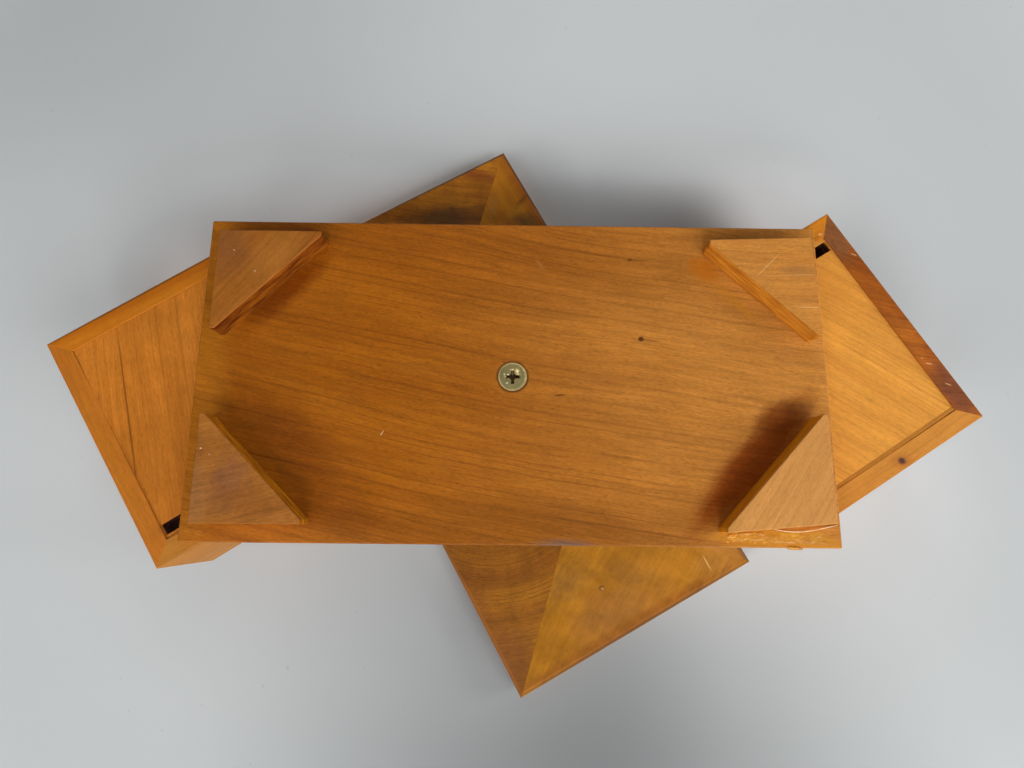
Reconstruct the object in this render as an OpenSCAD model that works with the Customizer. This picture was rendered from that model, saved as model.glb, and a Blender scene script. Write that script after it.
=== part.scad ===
// Wooden storage box on corner feet. Two trays swing out from under a swivelling lid.
// The box stands on its feet at z = 0, with the pivot screw on the Z axis, and is drawn open.
// Turned clockwise seen from above, the lid closes the box and brings both trays under it.

/* [Base board] */
// Length of the base board
base_w = 220; // [214:1:240]
// Depth of the base board
base_d = 114; // [110:1:130]
// Thickness of the base board
base_t = 5.5; // [5:0.5:9]

/* [Feet] */
// Length of a foot along either edge of the base
foot_leg = 35.5; // [25:0.5:42]
// Height of a foot
foot_h = 9.5; // [6:0.5:14]
// Blunt end at either tip of a foot
foot_tip = 1.6; // [0.5:0.1:4]
// Distance of the front left foot from the end of the base
front_left_inset_x = 7.2; // [4:0.1:12]
// Distance of the front right foot from the end of the base
front_right_inset_x = 6; // [4:0.1:12]
// Distance of the front feet from the long edge of the base
front_inset_y = 7.8; // [4:0.1:12]
// Distance of the back left foot from the end of the base
back_left_inset_x = 7.2; // [4:0.1:12]
// Distance of the back left foot from the long edge of the base
back_left_inset_y = 6.2; // [4:0.1:12]
// Distance of the back right foot from the end of the base
back_right_inset_x = 5.5; // [4:0.1:12]
// Distance of the back right foot's corner from the long edge of the base
back_right_inset_y = 8.1; // [5:0.1:12]
// Turn of the front right foot out of line with the base, in degrees
front_right_turn = 2; // [0:0.5:4]
// Angle by which the back right foot's long side is out of square, in degrees
back_right_slope = 5.2; // [0:0.1:6]

/* [Trays] */
// Length over both trays when the box is closed
trays_l = 208; // [202:1:214]
// Length of a tray from its outer end to its inner end
tray_l = 85.5; // [80:0.5:88]
// Space between a tray and the other tray's slot wall when the box is closed
trays_gap = 1; // [0.5:0.1:2]
// Depth of a tray, across the box
tray_w = 91.2; // [86:0.2:98]
// Height of a tray
tray_h = 42.5; // [34:0.5:60]
// Thickness of a tray's walls
wall_t = 7; // [6.5:0.5:8]
// Thickness of a tray's bottom panel
bottom_t = 3.5; // [2.5:0.5:5]
// Height of the bottom panel above the walls' lower edges
bottom_recess = 0.6; // [0.4:0.1:2.5]
// Depth of the groove that holds the bottom panel
groove_depth = 2.5; // [1.5:0.1:3.5]

/* [Guide slots and pegs] */
// Distance of the slot's centre line from the outside of the slot wall
slot_line = 10.4; // [9.5:0.1:14]
// Distance of the slot's outer end from the tray's outer end
slot_start = 7.3; // [7.1:0.1:9.5]
// Width of the slot
slot_w = 4; // [3.2:0.1:4.4]
// Diameter of a guide peg
peg_d = 3; // [2:0.1:3.1]
// Wood left under a guide peg's hole in the base
peg_floor = 2; // [1.5:0.5:3]

/* [Lid] */
// Length of the lid
lid_w = 208; // [206:1:216]
// Depth of the lid
lid_d = 106; // [102:1:114]
// Thickness of the lid
lid_t = 11; // [9:0.5:16]
// Bevel along the lid's lower edges
lid_low_bevel = 1.5; // [0.5:0.1:3]
// Bevel along the lid's upper edges
lid_top_bevel = 2.5; // [0.5:0.1:4]

/* [Hinge pins] */
// Diameter of a tray's hinge pin
pin_d = 3; // [2:0.1:3.4]
// Distance of a hinge pin from the outside of its slot wall
pin_inset = 4; // [3.5:0.1:4.5]
// Distance of a hinge pin from the middle of the box when the box is closed
pin_off_middle = 9.5; // [7:0.5:12]
// Length of a hinge pin inside its tray
pin_in_tray = 22; // [10:1:24]
// Length of a hinge pin inside the lid
pin_in_lid = 6.5; // [4:0.5:8]

/* [Centre post and screw] */
// Diameter of the post between the trays
post_d = 18; // [12:1:22]
// Diameter of the screw's head
screw_head_d = 10; // [8.5:0.1:11]
// Diameter of the screw's shank
screw_d = 4.5; // [3.5:0.1:5.5]
// Length of the screw
screw_l = 32; // [24:1:36]
// Length of the screw's pointed end
screw_tip = 6; // [3:0.5:8]
// Depth of the cross recess in the screw's head
recess_depth = 1.8; // [1:0.1:2.4]
// Width of the cross recess over its arms
recess_span = 5.4; // [4:0.1:6]
// Width of one arm of the cross recess
recess_arm = 1.1; // [0.6:0.1:1.4]
// Diameter of the round middle of the cross recess
recess_hub = 2.4; // [1.6:0.1:3.2]

/* [Opening angles] */
// Turn of the lid from closed to open, in degrees
lid_open = 60.6; // [57:0.1:63]
// Turn of each tray from closed to open, in degrees
tray_open = 32.3; // [30:0.1:35]

/* [Clearances] */
// Space between faces that slide over each other
slide_gap = 0.3; // [0.2:0.05:0.5]
// Space round a pin or shank that turns in its hole
run_fit = 0.08; // [0.03:0.01:0.1]
// Space round a pin or panel that is glued in place
glue_fit = 0.05; // [0.02:0.01:0.1]
// Spare length of a guide slot past its peg
slot_spare = 1; // [0.5:0.1:3]
// Spare depth of a hole past what sits in it
hole_spare = 0.5; // [0.3:0.1:1.5]

/* [Hidden] */
$fn = 48;

// Levels above the surface that the box stands on
base_z = foot_h;
base_top = base_z + base_t;
tray_z = base_top + slide_gap;
tray_top = tray_z + tray_h;
lid_z = tray_top + slide_gap;

// A tray is drawn round its hinge pin, with the slot wall above and the outer end to the left
tray_left = pin_off_middle - trays_l / 2;
tray_right = tray_left + tray_l;
tray_near = pin_inset - tray_w;
// The slot wall carries on past the tray, and meets the other tray when the box is closed
slot_wall_end = pin_off_middle + trays_l / 2 - tray_l - trays_gap;

// Where the left tray's pin stands when the box is closed, and when it is open
closed_pin = [-pin_off_middle, tray_w / 2 - pin_inset];
open_pin = turned(closed_pin, lid_open);

// The peg stands where the slot's centre lines cross, that of the closed box and that of the open one
slot_y = pin_inset - slot_line;
closed_slot_y = closed_pin.y + slot_y;
open_slot = open_pin + turned([0, slot_y], -tray_open);
along_slot = turned([1, 0], -tray_open);
peg_at = open_slot + along_slot * (closed_slot_y - open_slot.y) / along_slot.y;

// The peg lies nearest the pin where both are in line with the lid's axis
nearest = norm(peg_at) - norm(closed_pin);
slot_stop = -sqrt(nearest * nearest - slot_y * slot_y);
slot_inner = slot_stop + peg_d / 2 + slot_spare;
slot_outer = tray_left + slot_start;

screw_head_h = (screw_head_d - screw_d) / 2;
peg_depth = base_t - peg_floor;
peg_rise = bottom_recess;
// A cutting shape runs this far past the face that it opens
past = 1;

base_wood = [0.62, 0.36, 0.16];
foot_wood = [0.56, 0.34, 0.18];
tray_wood = [0.68, 0.40, 0.16];
bottom_wood = [0.72, 0.46, 0.20];
lid_wood = [0.50, 0.30, 0.14];
lid_pale_wood = [0.66, 0.44, 0.18];
peg_wood = [0.76, 0.58, 0.36];
screw_metal = [0.72, 0.62, 0.38];

function turned(p, a) = [p.x * cos(a) - p.y * sin(a), p.x * sin(a) + p.y * cos(a)];

// Puts what is drawn round a hinge pin in the place of the left tray, or of the right one
module in_tray(right) {
    rotate(right ? 180 : 0)
        translate([open_pin.x, open_pin.y, tray_z])
            rotate(-tray_open)
                children();
}

// Turns what is drawn for the closed lid to where the open lid is
module on_lid() {
    translate([0, 0, lid_z])
        rotate(lid_open)
            children();
}

module base_board() {
    color(base_wood)
        difference() {
            translate([-base_w / 2, -base_d / 2, base_z])
                cube([base_w, base_d, base_t]);
            translate([0, 0, base_z - past])
                cylinder(d = screw_d + 2 * run_fit, h = base_t + 2 * past);
            // Countersink for the screw's head
            translate([0, 0, base_z])
                cylinder(d1 = screw_head_d + 2 * run_fit, d2 = screw_d + 2 * run_fit, h = screw_head_h);
            for (side = [1, -1])
                translate([side * peg_at.x, side * peg_at.y, base_top - peg_depth - hole_spare])
                    cylinder(d = peg_d + 2 * glue_fit, h = peg_depth + hole_spare + past);
        }
}

// One foot, with its corner near the corner of the base given by the signs. Its turn is about that corner.
module foot(sx, sy, inset_x, inset_y, turn = 0, slope = 0) {
    tip_y = foot_leg * tan(slope);
    color(foot_wood)
        translate([sx * (base_w / 2 - inset_x), sy * (base_d / 2 - inset_y), 0])
            rotate(turn)
                mirrored(sx, sy)
                    linear_extrude(foot_h)
                        polygon([
                            [0, 0],
                            [-foot_leg, tip_y],
                            [-foot_leg, tip_y - foot_tip],
                            [-foot_tip, -foot_leg],
                            [0, -foot_leg]
                        ]);
}

// Mirrors its children where a sign is negative
module mirrored(sx, sy) {
    mirror([sx < 0 ? 1 : 0, 0, 0])
        mirror([0, sy < 0 ? 1 : 0, 0])
            children();
}

// A dowel in the base that ends just under the tray's bottom panel, in line with its slot
module guide_peg(side) {
    color(peg_wood)
        translate([side * peg_at.x, side * peg_at.y, base_top - peg_depth])
            cylinder(d = peg_d, h = peg_depth + peg_rise);
}

module centre_post() {
    post_h = lid_z - tray_z;
    color(peg_wood)
        difference() {
            translate([0, 0, tray_z])
                cylinder(d = post_d, h = post_h);
            translate([0, 0, tray_z - past])
                cylinder(d = screw_d + 2 * glue_fit, h = past + screw_l - base_t + hole_spare);
        }
}

// A countersunk wood screw, head down, flush with the underside of the base
module pivot_screw() {
    color(screw_metal)
        difference() {
            translate([0, 0, base_z])
                rotate_extrude()
                    polygon([
                        [0, 0],
                        [screw_head_d / 2, 0],
                        [screw_d / 2, screw_head_h],
                        [screw_d / 2, screw_l - screw_tip],
                        [0, screw_l]
                    ]);
            screw_recess();
        }
}

// A cross with a round middle, whose arms run inwards as they go deeper
module screw_recess() {
    intersection() {
        union() {
            for (a = [0, 90])
                rotate(a)
                    translate([-recess_span / 2, -recess_arm / 2, base_z - past])
                        cube([recess_span, recess_arm, recess_depth + past]);
            translate([0, 0, base_z - past])
                cylinder(d = recess_hub, h = recess_depth + past);
        }
        union() {
            translate([0, 0, base_z])
                cylinder(d1 = recess_span, d2 = recess_hub, h = recess_depth);
            translate([0, 0, base_z - past])
                cylinder(d = recess_span, h = past);
        }
    }
}

// Outline of a bevelled slab, across a side of the given length
function slab_profile(side) = [
    [-side / 2 + lid_low_bevel, 0],
    [side / 2 - lid_low_bevel, 0],
    [side / 2, lid_low_bevel],
    [side / 2, lid_t - lid_top_bevel],
    [side / 2 - lid_top_bevel, lid_t],
    [-side / 2 + lid_top_bevel, lid_t],
    [-side / 2, lid_t - lid_top_bevel],
    [-side / 2, lid_low_bevel]
];

module lid_slab() {
    intersection() {
        rotate([90, 0, 0])
            linear_extrude(lid_d, center = true)
                polygon(slab_profile(lid_w));
        rotate([90, 0, 90])
            linear_extrude(lid_w, center = true)
                polygon(slab_profile(lid_d));
    }
}

// A long lid board: a trapezoid between the lid's edge and its middle line
module long_lid_board(side, tone) {
    meet = (lid_w - lid_d) / 2;
    color(tone)
        on_lid()
            difference() {
                intersection() {
                    lid_slab();
                    linear_extrude(lid_t)
                        polygon([
                            [-lid_w / 2, side * lid_d / 2],
                            [lid_w / 2, side * lid_d / 2],
                            [meet, 0],
                            [-meet, 0]
                        ]);
                }
                // Blind hole for the hinge pin
                translate([side * closed_pin.x, side * closed_pin.y, -past])
                    cylinder(d = pin_d + 2 * glue_fit, h = pin_in_lid + hole_spare + past);
            }
}

// An end of the lid: a triangle between the mitres
module end_lid_board(side, tone) {
    meet = (lid_w - lid_d) / 2;
    color(tone)
        on_lid()
            intersection() {
                lid_slab();
                linear_extrude(lid_t)
                    polygon([
                        [side * lid_w / 2, -lid_d / 2],
                        [side * lid_w / 2, lid_d / 2],
                        [side * meet, 0]
                    ]);
            }
}

// A steel pin glued into the lid, on which a tray turns
module hinge_pin(right) {
    color(screw_metal)
        in_tray(right)
            translate([0, 0, tray_h - pin_in_tray])
                cylinder(d = pin_d, h = pin_in_tray + slide_gap + pin_in_lid);
}

// Plan of a wall whose outer face lies along the X axis, with its right end at the origin
module wall_plan(length, mitre_left, mitre_right) {
    polygon([
        [-length, 0],
        [0, 0],
        [mitre_right ? -wall_t : 0, -wall_t],
        [mitre_left ? wall_t - length : -length, -wall_t]
    ]);
}

// A wall with the groove for the bottom panel, which starts at the wall's left end
module tray_wall(length, groove_l, mitre_left = true, mitre_right = true) {
    difference() {
        linear_extrude(tray_h)
            wall_plan(length, mitre_left, mitre_right);
        translate([-length, -wall_t - past, bottom_recess - glue_fit])
            cube([groove_l, groove_depth + past, bottom_t + 2 * glue_fit]);
    }
}

// The long wall beside the guide slot, with the hinge pin's hole in the part that carries on past the tray
module slot_wall(right) {
    color(tray_wood)
        in_tray(right)
            difference() {
                translate([slot_wall_end, pin_inset, 0])
                    tray_wall(slot_wall_end - tray_left, tray_l - wall_t + groove_depth, mitre_right = false);
                translate([0, 0, tray_h - pin_in_tray - hole_spare])
                    cylinder(d = pin_d + 2 * run_fit, h = pin_in_tray + hole_spare + past);
            }
}

module plain_wall(right) {
    color(tray_wood)
        in_tray(right)
            translate([tray_left, tray_near, 0])
                rotate(180)
                    tray_wall(tray_l, tray_l);
}

module outer_wall(right) {
    color(tray_wood)
        in_tray(right)
            translate([tray_left, pin_inset, 0])
                rotate(90)
                    tray_wall(tray_w, tray_w);
}

// The inner wall, mitred to the plain wall and square against the slot wall
module inner_wall(right) {
    length = tray_w - wall_t;
    color(tray_wood)
        in_tray(right)
            translate([tray_right, tray_near, 0])
                rotate(-90)
                    tray_wall(length, length, mitre_left = false);
}

// The bottom panel, held in the walls' grooves, with its guide slot
module tray_bottom(right) {
    edge = wall_t - groove_depth + glue_fit;
    color(bottom_wood)
        in_tray(right)
            translate([0, 0, bottom_recess])
                difference() {
                    translate([tray_left + edge, tray_near + edge, 0])
                        cube([tray_l - 2 * edge, tray_w - 2 * edge, bottom_t]);
                    translate([slot_outer, slot_y - slot_w / 2, -past])
                        cube([slot_inner - slot_outer, slot_w, bottom_t + 2 * past]);
                }
}

base_board();
foot(-1, -1, front_left_inset_x, front_inset_y);  // front_left_foot
foot(1, -1, front_right_inset_x, front_inset_y, turn = -front_right_turn);  // front_right_foot
foot(-1, 1, back_left_inset_x, back_left_inset_y);  // back_left_foot
foot(1, 1, back_right_inset_x, back_right_inset_y, slope = back_right_slope);  // back_right_foot
guide_peg(1);  // left_guide_peg
guide_peg(-1);  // right_guide_peg
centre_post();
pivot_screw();
long_lid_board(-1, lid_pale_wood);  // lid_front_board
long_lid_board(1, lid_wood);  // lid_back_board
end_lid_board(-1, lid_wood);  // lid_left_board
end_lid_board(1, lid_pale_wood);  // lid_right_board
hinge_pin(false);  // left_hinge_pin
hinge_pin(true);  // right_hinge_pin
slot_wall(false);  // left_tray_slot_wall
plain_wall(false);  // left_tray_plain_wall
outer_wall(false);  // left_tray_outer_wall
inner_wall(false);  // left_tray_inner_wall
tray_bottom(false);  // left_tray_bottom
slot_wall(true);  // right_tray_slot_wall
plain_wall(true);  // right_tray_plain_wall
outer_wall(true);  // right_tray_outer_wall
inner_wall(true);  // right_tray_inner_wall
tray_bottom(true);  // right_tray_bottom
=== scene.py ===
import math
from collections import namedtuple

import bmesh
import bpy
from mathutils import Matrix, Vector, noise


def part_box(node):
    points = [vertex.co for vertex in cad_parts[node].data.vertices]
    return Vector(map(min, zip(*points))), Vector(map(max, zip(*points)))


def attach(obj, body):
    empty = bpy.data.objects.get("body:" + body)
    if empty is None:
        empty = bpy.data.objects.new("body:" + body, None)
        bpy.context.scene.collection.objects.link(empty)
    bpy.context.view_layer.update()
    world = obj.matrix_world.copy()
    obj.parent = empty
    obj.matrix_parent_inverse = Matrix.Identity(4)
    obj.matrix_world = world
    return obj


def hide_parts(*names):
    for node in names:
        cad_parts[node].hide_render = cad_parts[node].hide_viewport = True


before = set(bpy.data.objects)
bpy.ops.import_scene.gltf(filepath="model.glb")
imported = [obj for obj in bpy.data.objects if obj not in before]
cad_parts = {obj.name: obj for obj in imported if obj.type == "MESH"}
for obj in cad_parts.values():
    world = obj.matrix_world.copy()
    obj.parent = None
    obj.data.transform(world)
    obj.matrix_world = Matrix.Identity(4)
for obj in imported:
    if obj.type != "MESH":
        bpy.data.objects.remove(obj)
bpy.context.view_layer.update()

# Every size below is in metres. MM turns a size in millimetres into metres.
MM = 0.001

# How the sides and the ends of the open lid and of the open trays run, in degrees, seen from above
LID_SIDE = 60.6
LID_END = -29.4
TRAY_SIDE = -32.3
TRAY_END = 57.7

# The base's underside, which faces the camera, and the lid's top, which lies on the table
BASE_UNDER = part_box("base_board")[0][2]
LID_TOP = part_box("lid_front_board")[1][2]


# Node helpers

def feed(tree, socket, value):
    """Gives a socket a link or a value."""
    if isinstance(value, bpy.types.NodeSocket):
        tree.links.new(value, socket)
    else:
        socket.default_value = value


def feed_named(tree, node, sockets):
    for key, value in sockets.items():
        feed(tree, node.inputs[key.replace("_", " ")], value)


def feed_in_order(tree, node, values):
    for socket, value in zip(node.inputs, values):
        feed(tree, socket, value)


def put(tree, kind, settings=None, **sockets):
    """Adds a node, with its settings and with a value or a link for each socket named."""
    node = tree.nodes.new(kind)
    for key, value in (settings or {}).items():
        setattr(node, key, value)
    feed_named(tree, node, sockets)
    return node


def calc(tree, operation, *values, clamp=False):
    node = put(tree, "ShaderNodeMath", {"operation": operation, "use_clamp": clamp})
    feed_in_order(tree, node, values)
    return node.outputs[0]


def plus(tree, first, second):
    return calc(tree, "ADD", first, second)


def minus(tree, first, second):
    return calc(tree, "SUBTRACT", first, second)


def times(tree, first, second, clamp=False):
    return calc(tree, "MULTIPLY", first, second, clamp=clamp)


def vector_calc(tree, operation, *values, out=0):
    node = put(tree, "ShaderNodeVectorMath", {"operation": operation})
    feed_in_order(tree, node, values)
    return node.outputs[out]


def mixed(tree, factor, first, second, blend="MIX"):
    """Mixes two colours. Sockets 0, 6 and 7 are the factor and the colours."""
    node = put(tree, "ShaderNodeMix", {"data_type": "RGBA", "blend_type": blend})
    for number, value in ((0, factor), (6, first), (7, second)):
        feed(tree, node.inputs[number], value)
    return node.outputs[2]


def mixed_shaders(tree, factor, first, second):
    node = put(tree, "ShaderNodeMixShader")
    feed_in_order(tree, node, (factor, first, second))
    return node.outputs[0]


def ease(tree, value, low, high, to_low=0.0, to_high=1.0):
    """Maps low..high to to_low..to_high, with soft ends."""
    node = put(tree, "ShaderNodeMapRange", {"interpolation_type": "SMOOTHSTEP"},
               Value=value, From_Min=low, From_Max=high, To_Min=to_low, To_Max=to_high)
    return node.outputs[0]


def joined(tree, x, y, z):
    return put(tree, "ShaderNodeCombineXYZ", X=x, Y=y, Z=z).outputs[0]


def cloud(tree, place, scale=1.0, detail=2.0, rough=0.5):
    """Soft noise from 0 to 1. The higher the scale, the finer it is."""
    node = put(tree, "ShaderNodeTexNoise", Vector=place, Scale=scale, Detail=detail, Roughness=rough)
    return node.outputs[0]


def new_group(name, inputs, outputs):
    tree = bpy.data.node_groups.new(name, "ShaderNodeTree")
    kinds = {"v": "NodeSocketVector", "f": "NodeSocketFloat", "c": "NodeSocketColor"}
    for label, kind, value in inputs:
        socket = tree.interface.new_socket(label, in_out="INPUT", socket_type=kinds[kind])
        socket.default_value = value
    for label, kind in outputs:
        tree.interface.new_socket(label, in_out="OUTPUT", socket_type=kinds[kind])
    return tree, tree.nodes.new("NodeGroupInput").outputs, tree.nodes.new("NodeGroupOutput").inputs


def use(tree, group, **sockets):
    """Places a group, with a value or a link for each of its inputs named."""
    return put(tree, "ShaderNodeGroup", {"node_tree": group}, **sockets).outputs


# Effects that several finishes share

def make_wood_grain():
    """Solid wood. The growth rings run round the point (0, 0), which lies Bend away from the board."""
    tree, get, give = new_group("wood grain", [
        ("Place", "v", (0, 0, 0)),
        ("Bend", "f", 1.0),
        ("Pale", "c", (0.4, 0.2, 0.05, 1)),
        ("Middle", "c", (0.3, 0.1, 0.02, 1)),
        ("Dark", "c", (0.1, 0.03, 0.01, 1)),
        ("Ring Gap", "f", 5 * MM),
        ("Rings", "f", 0.6),
        ("Fibres", "f", 0.3),
        ("Figure", "f", 0.3),
        ("Wander", "f", 3 * MM),
    ], [("Color", "c"), ("Height", "f"), ("Rings", "f")])
    parts = put(tree, "ShaderNodeSeparateXYZ", Vector=get["Place"]).outputs
    radius = calc(tree, "SQRT", plus(tree, times(tree, parts[0], parts[0]), times(tree, parts[1], parts[1])))
    along = times(tree, calc(tree, "ARCTAN2", parts[0], parts[1]), get["Bend"])
    # The rings lean, so that a board's edges show them too
    across = plus(tree, radius, times(tree, parts[2], 0.8))
    # The rings wander slowly, with a quicker waver on top
    for fast, slow, share in ((10.0, 6.0, 2.4), (40.0, 17.0, 0.55), (160.0, 45.0, 0.1)):
        drift = cloud(tree, joined(tree, times(tree, along, slow), times(tree, radius, fast),
                                   times(tree, parts[2], slow)), detail=1.0)
        swing = times(tree, minus(tree, drift, 0.5), times(tree, get["Wander"], share))
        across = plus(tree, across, swing)

    def stretched(long_scale, cross_scale, detail, rough=0.55):
        """Noise drawn out along the grain."""
        spread = joined(tree, times(tree, along, long_scale), times(tree, across, cross_scale),
                        times(tree, parts[2], cross_scale))
        return cloud(tree, spread, detail=detail, rough=rough)

    def ring_lines(share, seed):
        """Dark lines a share of the ring gap apart, unevenly spaced, and broken along their run."""
        count = calc(tree, "DIVIDE", across, times(tree, get["Ring Gap"], share))
        uneven = put(tree, "ShaderNodeTexNoise", {"noise_dimensions": "1D"}, Scale=1.0, Detail=1.0,
                     W=plus(tree, times(tree, count, 0.37), seed)).outputs[0]
        count = plus(tree, count, times(tree, uneven, 2.2))
        # Each line darkens slowly and ends sharply
        rise = calc(tree, "FRACT", count)
        line = times(tree, ease(tree, rise, 0.7, 0.94), ease(tree, rise, 0.94, 1.0, 1.0, 0.0))
        chance = put(tree, "ShaderNodeTexWhiteNoise", {"noise_dimensions": "1D"},
                     W=plus(tree, calc(tree, "FLOOR", count), seed)).outputs[0]
        spread = joined(tree, times(tree, along, 22.0), times(tree, across, 110.0), seed)
        here = ease(tree, cloud(tree, spread, detail=2.0), 0.34, 0.62)
        return times(tree, calc(tree, "POWER", line, 1.4),
                     plus(tree, 0.3, times(tree, times(tree, chance, here), 0.7)))

    rings = calc(tree, "MAXIMUM", ring_lines(1.0, 3.7), times(tree, ring_lines(0.31, 11.3), 0.6))
    tone = ease(tree, stretched(9.0, 90.0, 4.0), 0.3, 0.7)
    hair = stretched(560.0, 2000.0, 2.0, 0.7)
    fibre = stretched(110.0, 900.0, 2.0, 0.6)
    streak = stretched(26.0, 300.0, 2.0, 0.6)
    pore = ease(tree, stretched(420.0, 2600.0, 0.0), 0.66, 0.8)
    ripple = cloud(tree, joined(tree, times(tree, along, 150.0), times(tree, across, 60.0), parts[2]),
                   detail=2.0)
    base = mixed(tree, tone, get["Middle"], get["Pale"])
    shade = 1.0
    for pattern, amount, factor in ((hair, get["Fibres"], 1.5), (fibre, get["Fibres"], 1.1),
                                    (streak, get["Fibres"], 0.9), (ripple, get["Figure"], 1.6)):
        shade = plus(tree, shade, times(tree, minus(tree, pattern, 0.5), times(tree, amount, factor)))
    lit = vector_calc(tree, "SCALE", base)
    feed(tree, lit.node.inputs["Scale"], shade)
    veined = mixed(tree, times(tree, rings, get["Rings"], clamp=True), lit, get["Dark"])
    pores = times(tree, pore, times(tree, get["Fibres"], 0.7), clamp=True)
    tree.links.new(mixed(tree, pores, veined, get["Dark"]), give["Color"])
    tree.links.new(minus(tree, plus(tree, hair, times(tree, fibre, 0.5)), pore), give["Height"])
    tree.links.new(rings, give["Rings"])
    return tree


def make_mark():
    """A soft-edged patch round a centre, for knots, stains, scuffs and glue smears, and for painted shadows,
    painted shade, painted glints and painted light.
    """
    tree, get, give = new_group("mark", [
        ("Place", "v", (0, 0, 0)),
        ("Centre", "v", (0, 0, 0)),
        ("Half Size", "v", (MM, MM, MM)),
        ("Turn", "f", 0.0),
        ("Ragged", "f", 0.3),
        ("Softness", "f", 0.3),
        ("Strength", "f", 1.0),
    ], [("Mask", "f")])
    away = vector_calc(tree, "SUBTRACT", get["Place"], get["Centre"])
    turned = put(tree, "ShaderNodeVectorRotate", {"rotation_type": "Z_AXIS"}, Vector=away, Angle=get["Turn"])
    scaled = vector_calc(tree, "DIVIDE", turned.outputs[0], get["Half Size"])
    far = vector_calc(tree, "LENGTH", scaled, out=1)
    wobble = cloud(tree, scaled, scale=1.7, detail=3.0, rough=0.6)
    far = plus(tree, far, times(tree, minus(tree, wobble, 0.5), times(tree, get["Ragged"], 4.0)))
    inside = ease(tree, far, minus(tree, 1.0, get["Softness"]), plus(tree, 1.0, get["Softness"]), 1.0, 0.0)
    tree.links.new(times(tree, inside, get["Strength"]), give["Mask"])
    return tree


def make_worn_arris():
    """Where two faces meet, handling has rubbed the finish."""
    tree, get, give = new_group("worn arris", [
        ("Place", "v", (0, 0, 0)),
        ("Width", "f", 0.6 * MM),
        ("Strength", "f", 0.5),
    ], [("Mask", "f")])
    rounded = put(tree, "ShaderNodeBevel", {"samples": 4}, Radius=get["Width"]).outputs[0]
    true = put(tree, "ShaderNodeNewGeometry").outputs["Normal"]
    alike = vector_calc(tree, "DOT_PRODUCT", rounded, true, out=1)
    near = ease(tree, alike, 0.75, 0.985, 1.0, 0.0)
    patchy = ease(tree, cloud(tree, get["Place"], scale=140.0, detail=3.0), 0.36, 0.6)
    tree.links.new(times(tree, times(tree, near, patchy), get["Strength"]), give["Mask"])
    return tree


def make_handling():
    """Faint smears and cloudy tone left on a surface by hands and years."""
    tree, get, give = new_group("handling", [
        ("Place", "v", (0, 0, 0)),
    ], [("Smears", "f"), ("Clouds", "f")])
    smear = ease(tree, cloud(tree, get["Place"], scale=70.0, detail=4.0, rough=0.6), 0.36, 0.66)
    tree.links.new(smear, give["Smears"])
    tree.links.new(ease(tree, cloud(tree, get["Place"], scale=34.0, detail=3.0), 0.3, 0.7), give["Clouds"])
    return tree


def make_torn_side():
    """A foot's upright sides, with level streaks. Angle turns the streaks along the slanted side."""
    tree, get, give = new_group("torn side", [
        ("Place", "v", (0, 0, 0)),
        ("Angle", "f", 0.0),
    ], [("Mask", "f"), ("Streaks", "f")])
    turned = put(tree, "ShaderNodeVectorRotate", {"rotation_type": "Z_AXIS"}, Vector=get["Place"],
                 Angle=get["Angle"])
    parts = put(tree, "ShaderNodeSeparateXYZ", Vector=turned.outputs[0]).outputs
    tree.links.new(ease(tree, parts[2], 0.25 * MM, 0.9 * MM), give["Mask"])
    streaks = cloud(tree, joined(tree, times(tree, parts[0], 75.0), 0.0, times(tree, parts[2], 520.0)),
                    detail=4.0, rough=0.65)
    tree.links.new(ease(tree, streaks, 0.34, 0.66), give["Streaks"])
    return tree


WOOD_GRAIN = make_wood_grain()
MARK = make_mark()
TORN_SIDE = make_torn_side()
WORN_ARRIS = make_worn_arris()
HANDLING = make_handling()


# Finishes

# A patch of colour: its centre and half size in mm, its turn in degrees, and how its edge fades and frays.
# Rough gives it a roughness of its own, and depth sinks it into the surface.
Spot = namedtuple("Spot", "at half colour turn soft ragged strength rough depth",
                  defaults=(0, 0.3, 0.2, 1.0, None, None))

# What a tone's colour is multiplied by for the wood's pale, middle and dark colours
TONE_SHARES = (1.12, 0.88, 0.42)
# How much handling clouds and dulls the wood, and how pale its rubbed arrises are
CLOUDING = 0.14
SMEARING = 0.12
RUBBED = 1.5
# How much of the grain shows on a torn side
TORN_GRAIN = 0.35
WOOD_SHINE = 0.12
GLUE_SHINE = 0.35


def masked(tree, place, spot):
    """Where a spot shows, from 0 to 1."""
    return use(tree, MARK, Place=place, Centre=[v * MM for v in spot.at],
               Half_Size=[v * MM for v in spot.half], Turn=-math.radians(spot.turn), Ragged=spot.ragged,
               Softness=spot.soft, Strength=spot.strength)["Mask"]


def shaded(colour, share):
    return (*[min(1.0, v * share) for v in colour], 1)


def new_material(name):
    """A material, its node tree, its shader, and the place in the shared frame that its patterns go by."""
    material = bpy.data.materials.new(name)
    material.use_nodes = True
    tree = material.node_tree
    place = tree.nodes.new("ShaderNodeTexCoord").outputs["Object"]
    return material, tree, tree.nodes["Principled BSDF"], place


def bumped(tree, strength, distance, height):
    return put(tree, "ShaderNodeBump", Strength=strength, Distance=distance, Height=height).outputs[0]


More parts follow.
